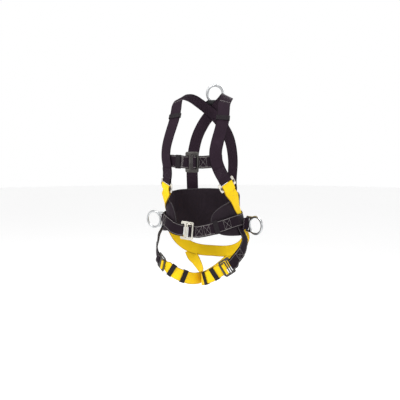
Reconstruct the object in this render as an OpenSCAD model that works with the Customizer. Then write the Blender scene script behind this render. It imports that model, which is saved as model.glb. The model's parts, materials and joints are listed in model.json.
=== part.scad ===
// Full body harness with a padded waist belt, shaped as it sits on its wearer.
// Origin: centre of the wearer's waist at belt level. +X is the wearer's left side,
// the wearer faces -Y and +Z is up. "left" and "right" are the wearer's own.

/* [Webbing] */
// Width of the load-bearing webbing
web_w = 45; // [42:1:45]
// Thickness of one layer of webbing
web_t = 2; // [1.6:0.1:2]
// Air between two layers of webbing that lie on each other
layer_gap = 0.4; // [0.3:0.05:0.4]

/* [Mating buckles] */
// Size of the chest buckle along its strap
chest_buckle_l = 50; // [48:1:52]
// Size of the chest buckle across its strap
chest_buckle_w = 73; // [70:1:76]
// Size of the waist buckle along its strap
waist_buckle_l = 50; // [48:1:52]
// Size of the waist buckle across its strap
waist_buckle_w = 66; // [66:1:70]
// Size of a leg buckle along its strap
leg_buckle_l = 43; // [42:1:46]
// Size of a leg buckle across its strap
leg_buckle_w = 68; // [66:1:72]
// Thickness of the buckle plates
plate_t = 3; // [2.6:0.1:3]
// Height of a buckle frame above the wearer
buckle_h = 6; // [6:0.1:6.5]

/* [Adjusters] */
// Size of a shoulder adjuster along its strap
adjuster_l = 36; // [36:0.5:37]
// Size of a shoulder adjuster across its strap
adjuster_w = 66; // [64:1:68]

/* [D-rings] */
// Radius of the round eye of a side ring
eye_r = 27; // [25:0.5:28]
// Outer radius of a side ring
ring_r = 36; // [36:0.5:37]
// Outer radius of the back ring
back_ring_r = 38; // [37:0.5:40]
// Thickness of the ring forgings
ring_t = 8; // [7:0.5:9]
// Radius of the straight bar that the webbing wraps
bar_r = 4; // [3.5:0.1:4]
// Distance from the bar to the centre of the eye
bar_to_eye = 45; // [45:0.5:47]

/* [Lumbar pad] */
// Thickness of the pad
pad_t = 10; // [8:0.5:10]

/* [Keepers] */
// Length of a keeper along its strap
keeper_l = 19; // [16:1:20]
// Wall of a keeper
keeper_wall = 1.6; // [1.4:0.1:1.8]
// Room between a keeper and its webbing, above and below
keeper_room = 2; // [1.8:0.1:2.2]

/* [Back plate] */
// Width of the back plate
back_plate_w = 92; // [88:1:96]
// Height of the back plate
back_plate_l = 84; // [80:1:88]
// Thickness of the back plate
back_plate_t = 4; // [3:0.5:4]

/* [Hidden] */

BLACK = [0.10, 0.08, 0.10];
YELLOW = [0.93, 0.74, 0.08];
GUNMETAL = [0.32, 0.32, 0.34];
STEEL = [0.72, 0.73, 0.75];

layer = web_t + layer_gap;  // pitch of two layers
thigh_room = 2.7;           // room above and below in a thigh keeper, whose webbing curves
keeper_side = 1;            // room between a keeper and its webbing, at each edge
fit = 0.35;                 // air between separate metal parts
opening_l = 22;             // length of a buckle frame's opening
opening_w = 56;             // width of a buckle frame's opening
slot_l = 6.5;               // length of a webbing slot
slot_w = 48;                // width of a webbing slot
link_l = 26;                // length of a buckle link
link_w = 54;                // width of a buckle link
link_inner_w = 46.6;        // width between a link's side rails
link_rail = 5;              // end rails of a link
link_bar_r = 2.5;           // radius of a link's webbing bar
loop_r = link_bar_r + 0.6 + web_t / 2;      // centre line of the webbing round that bar
link_z = plate_t + 0.4 + plate_t / 2;       // height of that bar over the frame's underside
bar_w = 8;                  // width of an adjuster's sliding bar
bar_t = 2.5;                // thickness of an adjuster's sliding bar
bar_u = 2;                  // rest place of the sliding bar along the adjuster
adjuster_rail = 6;          // end rails of an adjuster
ring_clear = 10;            // height of a ring's bar over the face that its loop is sewn to
ring_loop_r = bar_r + 0.5 + web_t / 2;      // centre line of the webbing round a ring's bar

// ---- the wearer that the webbing is shaped round: [z, half width, half depth, centre y]
TORSO = [[-162, 20, 20, -5], [-150, 86, 72, -5], [-120, 148, 104, -5], [-60, 156, 112, -3],
    [0, 137, 108, -5], [70, 125, 106, -8], [150, 141, 114, -12], [240, 164, 122, -14],
    [320, 172, 114, -8], [380, 168, 96, 0], [420, 150, 80, 8], [450, 120, 62, 12],
    [475, 80, 40, 14], [490, 30, 16, 14]];
// one thigh: [z, half width, half depth, centre y, centre x]
THIGH = [[-330, 70, 80, -8, 84], [-180, 77, 94, -14, 86], [-60, 73, 96, -12, 82], [0, 44, 62, -5, 60]];
SQUARENESS = 2.5;           // exponent of the torso's sections
GROIN = 36;                 // radius that blends thighs into torso

// ---- routes: [x, y, z, height of the webbing's middle above the wearer]
LEFT_SHOULDER = [[113, -108, 186, 5], [106, -116, 203, 5], [98, -123, 226, 5], [92, -126, 252, 5],
    [91, -124, 280, 5], [95, -116, 312, 5], [101, -102, 348, 5], [103, -84, 382, 5], [99, -64, 414, 5],
    [94, -42, 442, 5], [90, -12, 460, 6], [82, 22, 470, 7], [66, 52, 470, 9], [44, 76, 458, 10],
    [22, 88, 441, 10], [0, 94, 422, 9], [-24, 100, 398, 8], [-46, 108, 368, 6], [-66, 112, 330, 5],
    [-79, 113, 285, 5], [-86, 110, 235, 5], [-87, 108, 185, 5], [-86, 107, 152, 8],
    [-85, 106, 128, 14.5], [-84, 106, 100, 15], [-83, 106, 60, 15], [-82, 106, 18, 15]];
RIGHT_SHOULDER = [[-97, -116, 180, 5], [-93, -122, 200, 5], [-94, -125, 226, 5], [-99, -124, 256, 5],
    [-98, -120, 290, 5], [-91, -113, 328, 5], [-85, -102, 362, 5], [-81, -88, 392, 5],
    [-83, -64, 424, 5], [-88, -40, 448, 5], [-86, -10, 462, 6], [-78, 22, 471, 6], [-62, 52, 470, 6],
    [-42, 76, 458, 6], [-21, 88, 441, 5.5], [0, 94, 422, 5], [24, 100, 398, 5], [46, 108, 368, 5],
    [66, 112, 330, 5], [79, 113, 285, 5], [86, 110, 235, 5], [87, 108, 185, 5], [86, 107, 152, 8],
    [85, 106, 128, 14.5], [84, 106, 100, 15], [83, 106, 60, 15], [82, 106, 18, 15]];
SEAT = [[129, -78, 133, 7], [134, -65, 118, 13], [138, -50, 102, 15.5], [142, -30, 80, 15.5],
    [147, -4, 56, 15.5], [151, 20, 34, 15.5], [154, 40, 8, 15.5], [155, 56, -20, 15.5],
    [152, 70, -44, 12], [144, 84, -70, 6], [124, 98, -96, 5], [92, 108, -116, 5], [48, 112, -128, 5],
    [0, 112, -132, 5],
    [-48, 112, -128, 5], [-92, 108, -116, 5], [-124, 98, -96, 5], [-144, 84, -70, 6],
    [-152, 70, -44, 12], [-155, 56, -20, 15.5], [-154, 40, 8, 15.5], [-151, 20, 34, 15.5],
    [-145, -8, 56, 15.5], [-136, -42, 78, 15.5], [-124, -66, 95, 15.5], [-113, -84, 110, 13],
    [-107, -94, 124, 7]];
// paired routes are for the left side
HIP = [[153, -86, -112, 5], [161, -72, -98, 5], [169, -50, -80, 6], [172, -36, -62, 8],
    [170, -27, -42, 12], [166, -24, -22, 12.4], [161, -24, -2, 13.6], [158, -26, 15, 14.2]];
THIGH_STRAP = [[99, -112, -153, 5], [84, -112, -164, 5], [65, -107, -176, 5], [44, -95, -187, 5],
    [28, -74, -197, 5], [16, -45, -203, 5], [11, -12, -206, 5], [16, 24, -203, 5], [32, 54, -193, 5],
    [54, 74, -175, 6.5], [76, 86, -152, 10.8], [93, 95, -124, 12]];
LEFT_CHEST = [[48, -137, 239, 5], [60, -134, 240, 4.6], [71, -131, 241, 2.4],
    [86, -127, 242, 2], [100, -121, 242, 2], [112, -113, 243, 2]];
RIGHT_CHEST = [[-30, -138, 240, 5], [-44, -136, 240, 5], [-60, -134, 241, 4.6],
    [-73, -131, 242, 2], [-88, -126, 242, 1.6], [-102, -120, 243, 1.6], [-116, -110, 243, 1.6]];
BELT = [[-62, -113, -7, 10], [-75, -110, -2, 15], [-92, -106, 8, 15], [-110, -98, 15, 15],
    [-128, -82, 19, 15], [-144, -58, 22, 18.4], [-153, -32, 24, 21], [-157, -5, 24, 21],
    [-157, 22, 25, 21], [-154, 45, 27, 21], [-146, 66, 29, 20.5], [-126, 92, 31, 20.5],
    [-98, 106, 32, 21], [-60, 113, 32, 20.5], [0, 116, 32, 19],
    [60, 113, 32, 20.5], [98, 106, 32, 21], [126, 92, 31, 20.5], [146, 66, 29, 20.5],
    [154, 45, 27, 21], [157, 22, 25, 21], [157, -5, 25, 21], [153, -32, 25, 21],
    [143, -60, 23, 18.4], [128, -82, 18, 16.4], [110, -97, 12, 18], [92, -106, 6, 18.6],
    [78, -110, 1, 17.4], [66, -112, -3, 13.6], [54, -114, -6, 7], [42, -115, -9, 5], [22, -117, -13, 5]];
// pad outline: [bearing from the wearer's front, lower edge z, upper edge z]
PAD = [[33, 26, 34], [35, 6, 48], [39, -10, 62], [45, -25, 74], [54, -35, 86], [70, -38, 98],
    [90, -35, 109], [120, -35, 120], [150, -40, 126], [180, -42, 128], [210, -40, 126],
    [240, -35, 122], [270, -33, 114], [292, -32, 106], [306, -28, 98], [315, -22, 88],
    [321, -18, 70], [325, -18, 42], [327.5, -19, 16], [329.5, -18, -4]];

// ---- where the hardware sits: [point near the wearer, direction along the strap]
CHEST_SEAT = [[9, -139, 239], [1, 0, 0]];
WAIST_SEAT = [[-20, -116, -11], [1, 0, -0.07]];
LEG_SEAT = [[127, -103, -137], [-46, -30, -34]];
LEFT_ADJUSTER_SEAT = [[122, -94, 160], [12, 24, -36]];
RIGHT_ADJUSTER_SEAT = [[-102, -109, 152], [-8, 12, -36]];
SIDE_RING = [160.6, 6, 8];     // where a side ring's loop meets the belt
BACK_RING_SEAT = [[10, 86, 440], [0, -0.35, 1]];
side_loop_reach = 24;       // length of a ring loop's sewn feet, each way
ring_droop = 0.06;          // fall of the side rings per unit of reach
back_plate_h = 15;          // underside of the back plate above the wearer
left_swing = -30;           // rest angles of the side rings from straight out, forward negative
right_swing = 13;
back_lean = 68;             // rest angle of the back ring from straight out

function unit(v) = v / norm(v);
function xyz(v) = [v.x, v.y, v.z];
function flip(v) = [for (i = [len(v) - 1 : -1 : 0]) v[i]];
// a route or seat point on side s of the wearer, 1 left and -1 right
function sided(rows, s) = [for (r = rows) [s * r[0], r[1], r[2], r[3]]];
function sided_seat(k, s) = [for (v = k) [s * v.x, v.y, v.z]];

// value between b and c of a smooth curve through a, b, c and d
function knit(a, b, c, d, t) =
    b + t / 2 * (c - a + t * (2 * a - 5 * b + 4 * c - d + t * (3 * (b - c) + d - a)));
function smooth(rows, n) = [
    for (i = [0 : len(rows) - 2], k = [0 : n - 1])
        knit(rows[max(i - 1, 0)], rows[i], rows[i + 1], rows[min(i + 2, len(rows) - 1)], k / n),
    rows[len(rows) - 1]
];

// a table's row at height z, by smooth interpolation of its neighbours
function rate(T, i) =
    let (a = T[max(i - 1, 0)], b = T[min(i + 1, len(T) - 1)]) (b - a) / (b[0] - a[0]);
function section(T, z) =
    z <= T[0][0] ? T[0] : z >= T[len(T) - 1][0] ? T[len(T) - 1] :
    let (i = max([for (k = [0 : len(T) - 2]) if (T[k][0] < z) k]), s = T[i + 1][0] - T[i][0],
        t = (z - T[i][0]) / s)
    (2 * t ^ 3 - 3 * t ^ 2 + 1) * T[i] + s * (t ^ 3 - 2 * t ^ 2 + t) * rate(T, i)
        + (3 * t ^ 2 - 2 * t ^ 3) * T[i + 1] + s * (t ^ 3 - t ^ 2) * rate(T, i + 1);
function past_ends(T, z) = max(z - T[len(T) - 1][0], 0) + max(T[0][0] - z, 0);

// distance-like value that is zero on the wearer's surface and positive outside
function torso_gap(p) =
    let (r = section(TORSO, p.z), k = SQUARENESS)
    ((abs(p.x / r[1]) ^ k + abs((p.y - r[3]) / r[2]) ^ k) ^ (1 / k) - 1) * min(r[1], r[2])
        + past_ends(TORSO, p.z);
function thigh_gap(p) =
    let (r = section(THIGH, p.z))
    (norm([(abs(p.x) - r[4]) / r[1], (p.y - r[3]) / r[2]]) - 1) * min(r[1], r[2]) + past_ends(THIGH, p.z);
function blended(a, b, k) = min(a, b) - (max(k - abs(a - b), 0) / k) ^ 2 * k / 4;
function gap(p) = p.z < 60 ? blended(torso_gap(p), thigh_gap(p), GROIN) : torso_gap(p);
function steepest(p, e = 0.5) =
    [for (d = [[e, 0, 0], [0, e, 0], [0, 0, e]]) (gap(p + d) - gap(p - d)) / (2 * e)];
// nearest point on the wearer, by a few steps down the gap's slope
function foot(p, n = 6) =
    n == 0 ? p :
    let (g = steepest(p), d = g * gap(p) / (g * g)) foot(p - d * min(1, 30 / max(norm(d), 0.001)), n - 1);

// a line of webbing is a list of [point, outward normal]
function lay(rows, n = 3) = [
    for (q = smooth(rows, n)) let (f = foot(xyz(q)), m = unit(steepest(f))) [f + m * q[3], m]
];
function heading(c, i) = unit(c[min(i + 1, len(c) - 1)][0] - c[max(i - 1, 0)][0]);
function across_of(n, t) = cross(unit(n - t * (t * n)), t);
// frame at place i of a line: along it, across it, outward
function frame_on(c, i) =
    let (t = heading(c, i), w = across_of(c[i][1], t)) matrix(t, w, cross(t, w), c[i][0]);
function matrix(u, v, w, p) =
    [[u.x, v.x, w.x, p.x], [u.y, v.y, w.y, p.y], [u.z, v.z, w.z, p.z], [0, 0, 0, 1]];
// frame of hardware that sits h above the wearer
function seat(k, h) =
    let (f = foot(k[0]), n = unit(steepest(f)), u = unit(k[1] - n * (n * k[1])))
    matrix(u, cross(n, u), n, f + n * h);
// points [u, z, normal u, normal z] of a frame, as a line
function placed(m, pts) = [
    for (q = pts) [xyz(m * [q[0], 0, q[1], 1]), unit(xyz(m * [q[2], 0, q[3], 0]))]
];
// arc with normals out of it (out = 1) or into it (out = -1)
function arc(c, r, a0, a1, out, n = 6) = [
    for (i = [0 : n]) let (a = a0 + (a1 - a0) * i / n)
        [c.x + r * cos(a), c.y + r * sin(a), out * cos(a), out * sin(a)]
];
// second layer of a line's first m places, on its outside (side = 1) or inside (side = -1)
function second_layer(c, m, side) = [
    for (i = [m : -1 : 0]) [c[i][0] + side * layer * c[i][1], -c[i][1]]
];

// length of a buckle frame's rails, and the place of its link's bar
function rail(l) = (l - slot_l - opening_l) / 3;
function link_u(l) = l / 2 - rail(l) - loop_r - 1.6;

// webbing that comes to a buckle frame's end bar, wraps it and lies back over itself
function on_frame(c, m, l, r, back) = concat(
    second_layer(c, back, 1),
    placed(m, concat([[-l / 2 - 8, 2.6, 0, -1], [-l / 2, plate_t + 1.4, 0, -1]],
        arc([-l / 2 + r, plate_t / 2], plate_t / 2 + 1.4, 90, -90, -1),
        [[-l / 2, -1.4, 0, 1], [-l / 2 - 6, -1.4, 0, 1]])),
    c);
// webbing that comes under a buckle frame's near rail, rises round the link's bar and lies under itself
function on_link(c, m, l, back) =
    let (e = l / 2 - rail(l), u = link_u(l))
    concat(
        second_layer(c, back, -1),
        placed(m, concat([[e + 8, -4.1, 0, -1], [e, -4.1, 0, -1], [e - 2.7, -3.4, -0.45, -0.9],
                [e - 5.6, -1.6, -0.6, -0.8], [e - 9.2, 2.2, -0.95, -0.3]],
            arc([u, link_z], loop_r, 180, 0, 1),
            arc([e, 0], 1.6, 180, 270, -1, 3),
            [[e + 8, -1.6, 0, 1]])),
        c);
// webbing that comes under an adjuster's rail, rises round the sliding bar and lies over itself
function on_adjuster(c, m, back) = concat(
    second_layer(c, back, 1),
    placed(m, concat([[25, 3, 0.2, -1], [19, 4.8, 0.2, -1], [13, 6.3, 0.2, -1], [8, 7.2, 0, -1]],
        arc([-3.5, 4.6], 2.6, 90, 270, -1),
        [[3, 2, 0, 1], [7.5, 0.7, -0.4, 1], [11.5, -1.2, -0.3, 1], [18, -1.4, 0, 1], [24, -1.4, 0, 1]])),
    c);

LEFT_ADJUSTER = seat(LEFT_ADJUSTER_SEAT, buckle_h);
RIGHT_ADJUSTER = seat(RIGHT_ADJUSTER_SEAT, buckle_h);
CHEST = seat(CHEST_SEAT, buckle_h);
WAIST = seat(WAIST_SEAT, buckle_h);
function leg(s) = seat(sided_seat(LEG_SEAT, s), buckle_h);

// flat strip of webbing along a line
module ribbon(c, w = web_w, t = web_t) {
    n = len(c);
    points = [
        for (i = [0 : n - 1])
            let (h = heading(c, i), v = across_of(c[i][1], h) * w / 2, m = cross(h, v) / w * t, p = c[i][0])
            each [p + v + m, p + v - m, p - v - m, p - v + m]
    ];
    walls = [
        for (i = [0 : n - 2], k = [0 : 3])
            let (a = 4 * i + k, b = 4 * i + (k + 1) % 4)
            each [[a, b, b + 4], [a, b + 4, a + 4]]
    ];
    polyhedron(points, concat([[3, 2, 1], [3, 1, 0]], walls, [[4 * n - 4, 4 * n - 3, 4 * n - 2],
        [4 * n - 4, 4 * n - 2, 4 * n - 1]]), convexity = 10);
}

// band that holds a strap's layers: thick is their thickness, drop is how far below the line they reach
module keeper(m, thick, drop, room) {
    inner = thick + 2 * room;
    wide = web_w + 2 * keeper_side;
    color(BLACK)
        multmatrix(m)
            translate([0, 0, -drop])
                difference() {
                    cube([keeper_l, wide + 2 * keeper_wall, inner + 2 * keeper_wall], center = true);
                    cube([keeper_l + 1, wide, inner], center = true);
                }
}

// plate with a rectangular hole: [length, width], hole's [length, width] and middle
module window_plate(l, w, t, holes) {
    difference() {
        translate([-l / 2, -w / 2, 0])
            cube([l, w, t]);
        for (h = holes)
            translate([h[0], -h[2] / 2, -1])
                cube([h[1], h[2], t + 2]);
    }
}

module buckle_frame(m, l, w, tint) {
    r = rail(l);
    color(tint)
        multmatrix(m)
            window_plate(l, w, plate_t,
                [[-l / 2 + r, slot_l, slot_w], [l / 2 - r - opening_l, opening_l, opening_w]]);
}

module buckle_link(m, l, tint) {
    inside = (link_l - 2 * link_rail) / 2;
    color(tint)
        multmatrix(m)
            translate([link_u(l), 0, link_z]) {
                difference() {
                    cube([link_l, link_w, plate_t], center = true);
                    cube([2 * inside, link_inner_w, plate_t + 1], center = true);
                }
                rotate([90, 0, 0])
                    cylinder(r = link_bar_r, h = link_w - 4, center = true, $fn = 48);
            }
}

module adjuster_frame(m) {
    color(STEEL)
        multmatrix(m)
            window_plate(adjuster_l, adjuster_w, plate_t,
                [[-adjuster_l / 2 + adjuster_rail, adjuster_l - 2 * adjuster_rail, slot_w]]);
}

module adjuster_bar(m) {
    color(GUNMETAL)
        multmatrix(m)
            translate([bar_u, 0, plate_t + fit + bar_t / 2])
                cube([bar_w, adjuster_w - 6, bar_t], center = true);
}

// loop that holds a ring's bar: two sewn feet of length reach and a bight round the bar
module ring_loop(m, reach) {
    z = ring_clear;
    low = web_t / 2 + fit;
    color(BLACK)
        ribbon(placed(m, concat(
            [[-reach, low, 0, 1], [-reach / 2, low, 0, 1], [-12, low, 0, 1], [-8, low + 0.8, -0.5, 0.8],
                [-ring_loop_r - 0.6, low + 3.6, -1, 0.2]],
            arc([0, z], ring_loop_r, 180, 0, 1, 8),
            [[ring_loop_r + 0.6, low + 3.6, 1, 0.2], [8, low + 0.8, 0.5, 0.8], [12, low, 0, 1],
                [reach / 2, low, 0, 1], [reach, low, 0, 1]])), web_w - 1);
}

// forged ring: straight bar along Y at the origin, round eye bar_to_eye away along X
module d_ring(r) {
    neck = 13;              // start of the cross rail, from the bar
    half_bar = 30;
    chamfer = 2;
    h = ring_t / 2;
    shoulder = bar_to_eye - 6;
    translate([bar_to_eye, 0, 0])
        rotate_extrude($fn = 96)
            polygon([[eye_r, -h + chamfer], [eye_r + chamfer, -h], [r - chamfer, -h], [r, -h + chamfer],
                [r, h - chamfer], [r - chamfer, h], [eye_r + chamfer, h], [eye_r, h - chamfer]]);
    difference() {
        translate([0, 0, 1 - h])
            linear_extrude(height = ring_t - 2)
                polygon([[-3, -half_bar - 2], [shoulder, 1 - r], [shoulder, r - 1], [-3, half_bar + 2]]);
        translate([bar_to_eye, 0, 0])
            cylinder(r = eye_r + 1, h = ring_t + 1, center = true, $fn = 96);
        translate([-4, -half_bar + 6, -ring_t])
            cube([neck + 4, 2 * half_bar - 12, 2 * ring_t]);
    }
    rotate([90, 0, 0])
        cylinder(r = bar_r, h = 2 * half_bar, center = true, $fn = 48);
}

// a ring in the frame of its loop, swung by a from straight out
module hung_ring(m, r, a) {
    color(STEEL)
        multmatrix(m)
            translate([0, 0, ring_clear])
                rotate([0, a - 90, 0])
                    d_ring(r);
}

function side_ring_frame(s) =
    let (n = unit([s, 0, -ring_droop]), u = [0, 1, 0])
    matrix(u, cross(n, u), n, sided_seat([SIDE_RING], s)[0]);
function back_ring_frame() = seat(BACK_RING_SEAT, back_plate_h + back_plate_t);

// padded shell that follows the wearer between the outline's edges
module pad_shell() {
    rows = smooth(PAD, 3);
    across = [0, 0.05, 0.18, 0.5, 0.82, 0.95, 1];
    rise = [0.3, 0.75, 1, 1, 1, 0.75, 0.3];
    n = len(rows);
    k = len(across);
    tip = 3;
    function thick(i, j) = 1 + pad_t * rise[j] * min(0.3 + 0.7 * min(i, n - 1 - i) / tip, 1);
    function on_form(i, j) =
        let (q = rows[i], c = 1 / norm([sin(q[0]) / 155, cos(q[0]) / 110]))
        foot([c * sin(q[0]), -c * cos(q[0]), q[1] + (q[2] - q[1]) * across[j]]);
    base = [for (i = [0 : n - 1], j = [0 : k - 1]) on_form(i, j)];
    normals = [for (p = base) unit(steepest(p))];
    inner = [for (i = [0 : len(base) - 1]) base[i] + normals[i]];
    outer = [for (i = [0 : n - 1], j = [0 : k - 1]) base[i * k + j] + thick(i, j) * normals[i * k + j]];
    skins = [
        for (i = [0 : n - 2], j = [0 : k - 2])
            let (a = i * k + j, b = a + 1, c = a + k, d = c + 1, o = n * k)
            each [[a, c, d], [a, d, b], [a + o, b + o, d + o], [a + o, d + o, c + o]]
    ];
    rim = concat([for (i = [0 : n - 1]) i * k], [for (j = [1 : k - 1]) (n - 1) * k + j],
        [for (i = [n - 2 : -1 : 0]) i * k + k - 1], [for (j = [k - 2 : -1 : 1]) j]);
    edge = [
        for (i = [0 : len(rim) - 1])
            let (a = rim[i], b = rim[(i + 1) % len(rim)], o = n * k)
            each [[a, a + o, b + o], [a, b + o, b]]
    ];
    polyhedron(concat(inner, outer), concat(skins, edge), convexity = 10);
}

module shoulder_strap(rows, m) {
    color(BLACK)
        ribbon(on_frame(lay(rows), m, adjuster_l, adjuster_rail, 5));
}
module left_shoulder_strap() { shoulder_strap(LEFT_SHOULDER, LEFT_ADJUSTER); }
module right_shoulder_strap() { shoulder_strap(RIGHT_SHOULDER, RIGHT_ADJUSTER); }

module seat_strap() {
    c = lay(SEAT);
    left = on_adjuster(c, LEFT_ADJUSTER, 5);
    color(YELLOW)
        ribbon(flip(on_adjuster(flip(left), RIGHT_ADJUSTER, 5)));
}

module hip_strap(s) {
    color(BLACK)
        ribbon(on_frame(lay(sided(HIP, s)), leg(s), leg_buckle_l, rail(leg_buckle_l), 5));
}
module left_hip_strap() { hip_strap(1); }
module right_hip_strap() { hip_strap(-1); }

module thigh_strap(s) {
    color(YELLOW)
        ribbon(on_link(lay(sided(THIGH_STRAP, s)), leg(s), leg_buckle_l, 12));
}
module left_thigh_strap() { thigh_strap(1); }
module right_thigh_strap() { thigh_strap(-1); }

module left_chest_strap() {
    color(BLACK)
        ribbon(on_link(lay(LEFT_CHEST), CHEST, chest_buckle_l, 3));
}
module right_chest_strap() {
    color(BLACK)
        ribbon(on_frame(lay(RIGHT_CHEST), CHEST, chest_buckle_l, rail(chest_buckle_l), 5));
}

module waist_belt() {
    c = lay(BELT);
    right = on_frame(c, WAIST, waist_buckle_l, rail(waist_buckle_l), 9);
    color(BLACK)
        ribbon(flip(on_link(flip(right), WAIST, waist_buckle_l, 5)));
}

module lumbar_pad() {
    color(BLACK)
        pad_shell();
}

module back_plate() {
    corner = 20;
    x = back_plate_l / 2;
    y = back_plate_w / 2;
    color(GUNMETAL)
        multmatrix(seat(BACK_RING_SEAT, back_plate_h))
            translate([-14, 0, 0])
                difference() {
                    linear_extrude(height = back_plate_t)
                        polygon([[-x, -y + corner], [-x + corner, -y], [x - corner, -y], [x, -y + corner],
                            [x, y - corner], [x - corner, y], [-x + corner, y], [-x, y - corner]]);
                    for (v = [-1, 1])
                        translate([-x + 9, v * 17 - 11, -1])
                            cube([7, 22, back_plate_t + 2]);
                }
}
module back_ring_loop() { ring_loop(back_ring_frame(), side_loop_reach); }
module back_ring() { hung_ring(back_ring_frame(), back_ring_r, back_lean); }

module left_ring_loop() { ring_loop(side_ring_frame(1), side_loop_reach); }
module right_ring_loop() { ring_loop(side_ring_frame(-1), side_loop_reach); }
module left_side_ring() { hung_ring(side_ring_frame(1), ring_r, left_swing); }
module right_side_ring() { hung_ring(side_ring_frame(-1), ring_r, right_swing); }

module chest_buckle_frame() { buckle_frame(CHEST, chest_buckle_l, chest_buckle_w, GUNMETAL); }
module chest_buckle_link() { buckle_link(CHEST, chest_buckle_l, GUNMETAL); }
module waist_buckle_frame() { buckle_frame(WAIST, waist_buckle_l, waist_buckle_w, STEEL); }
module waist_buckle_link() { buckle_link(WAIST, waist_buckle_l, STEEL); }
module left_leg_buckle_frame() { buckle_frame(leg(1), leg_buckle_l, leg_buckle_w, GUNMETAL); }
module left_leg_buckle_link() { buckle_link(leg(1), leg_buckle_l, GUNMETAL); }
module right_leg_buckle_frame() { buckle_frame(leg(-1), leg_buckle_l, leg_buckle_w, GUNMETAL); }
module right_leg_buckle_link() { buckle_link(leg(-1), leg_buckle_l, GUNMETAL); }

module left_adjuster_frame() { adjuster_frame(LEFT_ADJUSTER); }
module left_adjuster_bar() { adjuster_bar(LEFT_ADJUSTER); }
module right_adjuster_frame() { adjuster_frame(RIGHT_ADJUSTER); }
module right_adjuster_bar() { adjuster_bar(RIGHT_ADJUSTER); }

// keeper round both layers of a strap's sewn end, at place i of its line, whose other layer is
// on its outside (side = 1) or inside (side = -1)
module double_keeper(c, i, room, side = -1) {
    keeper(frame_on(c, i), web_t + layer, -side * layer / 2, room);
}
module thigh_keeper(s, i) { double_keeper(lay(sided(THIGH_STRAP, s)), i, thigh_room); }
module left_outer_thigh_keeper() { thigh_keeper(1, 3); }
module left_inner_thigh_keeper() { thigh_keeper(1, 9); }
module right_outer_thigh_keeper() { thigh_keeper(-1, 3); }
module right_inner_thigh_keeper() { thigh_keeper(-1, 9); }
module left_shoulder_keeper() { keeper(frame_on(lay(LEFT_SHOULDER), 22), web_t, 0, keeper_room); }
module right_shoulder_keeper() { keeper(frame_on(lay(RIGHT_SHOULDER), 22), web_t, 0, keeper_room); }
module belt_keeper() { keeper(frame_on(flip(lay(BELT)), 14), web_t, 0, keeper_room); }
module chest_keeper() { double_keeper(lay(RIGHT_CHEST), 3, keeper_room, 1); }

left_shoulder_strap();
right_shoulder_strap();
seat_strap();
left_hip_strap();
right_hip_strap();
left_thigh_strap();
right_thigh_strap();
left_chest_strap();
right_chest_strap();
waist_belt();
lumbar_pad();
back_plate();
back_ring_loop();
back_ring();
left_ring_loop();
right_ring_loop();
left_side_ring();
right_side_ring();
chest_buckle_frame();
chest_buckle_link();
waist_buckle_frame();
waist_buckle_link();
left_leg_buckle_frame();
left_leg_buckle_link();
right_leg_buckle_frame();
right_leg_buckle_link();
left_adjuster_frame();
left_adjuster_bar();
right_adjuster_frame();
right_adjuster_bar();
left_outer_thigh_keeper();
left_inner_thigh_keeper();
right_outer_thigh_keeper();
right_inner_thigh_keeper();
left_shoulder_keeper();
right_shoulder_keeper();
belt_keeper();
chest_keeper();
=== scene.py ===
import json
import math

import bmesh
import bpy
import numpy as np
from bpy.props import FloatProperty, FloatVectorProperty, PointerProperty
from mathutils import Matrix, Vector
from mathutils.bvhtree import BVHTree


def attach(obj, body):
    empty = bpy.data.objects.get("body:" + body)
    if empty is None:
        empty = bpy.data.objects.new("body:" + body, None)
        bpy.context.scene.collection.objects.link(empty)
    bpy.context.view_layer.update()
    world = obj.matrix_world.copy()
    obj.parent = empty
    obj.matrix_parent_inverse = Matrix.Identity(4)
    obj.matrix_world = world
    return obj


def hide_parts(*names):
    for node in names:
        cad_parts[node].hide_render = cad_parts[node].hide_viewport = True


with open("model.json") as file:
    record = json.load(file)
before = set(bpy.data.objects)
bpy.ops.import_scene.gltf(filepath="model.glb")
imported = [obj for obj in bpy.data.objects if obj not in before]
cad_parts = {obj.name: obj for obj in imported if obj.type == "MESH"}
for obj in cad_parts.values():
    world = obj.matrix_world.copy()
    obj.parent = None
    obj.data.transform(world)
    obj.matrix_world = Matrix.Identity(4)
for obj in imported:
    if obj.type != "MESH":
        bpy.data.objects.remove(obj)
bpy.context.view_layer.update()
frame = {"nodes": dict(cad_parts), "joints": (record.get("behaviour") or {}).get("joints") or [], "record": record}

bl_info = {
    "name": "Padded safety harness",
    "version": (1, 0, 0),
    "blender": (4, 5, 0),
    "location": "View3D > Sidebar > Harness",
    "description": "Builds the webbing, pad and metalwork of a full body harness on its frame",
    "category": "Object",
}

MM = 0.001
JOINTS = {j["name"]: j for j in frame["joints"]}
BODY_OF = {n: b for b, nodes in frame["record"]["behaviour"]["bodies"].items() for n in nodes}


# ---------------------------------------------------------------- settings

def colour(label, text, default):
    return FloatVectorProperty(name=label, description=text, subtype="COLOR", size=3,
                               min=0, max=1, default=default)


def length(label, text, default, low, high):
    return FloatProperty(name=label, description=text, subtype="DISTANCE", unit="LENGTH",
                         default=default, min=low, max=high)


class WebbingSettings(bpy.types.PropertyGroup):
    """Colours and weave of the webbing."""
    black: colour("Black yarn", "Yarn of the upper straps and the belt", (0.0050, 0.0026, 0.0046))
    sheen: colour("Yarn sheen", "Light that the black yarn throws back", (0.026, 0.014, 0.024))
    yellow: colour("Yellow yarn", "Yarn of the seat and thigh straps", (0.90, 0.60, 0.012))
    # painted shade: dark colour painted along the edges of the yellow straps
    edge_shade: colour("Yellow selvedge", "Edges of the yellow straps", (0.30, 0.16, 0.008))
    thread: colour("Sewing thread", "Thread of the box stitching", (0.33, 0.31, 0.30))
    rib: length("Rib pitch", "Distance between two ribs of the weave", 1.5 * MM, 0.8 * MM, 3 * MM)
    stitch: length("Stitch length", "Distance between two stitches", 3.6 * MM, 2 * MM, 6 * MM)


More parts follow.
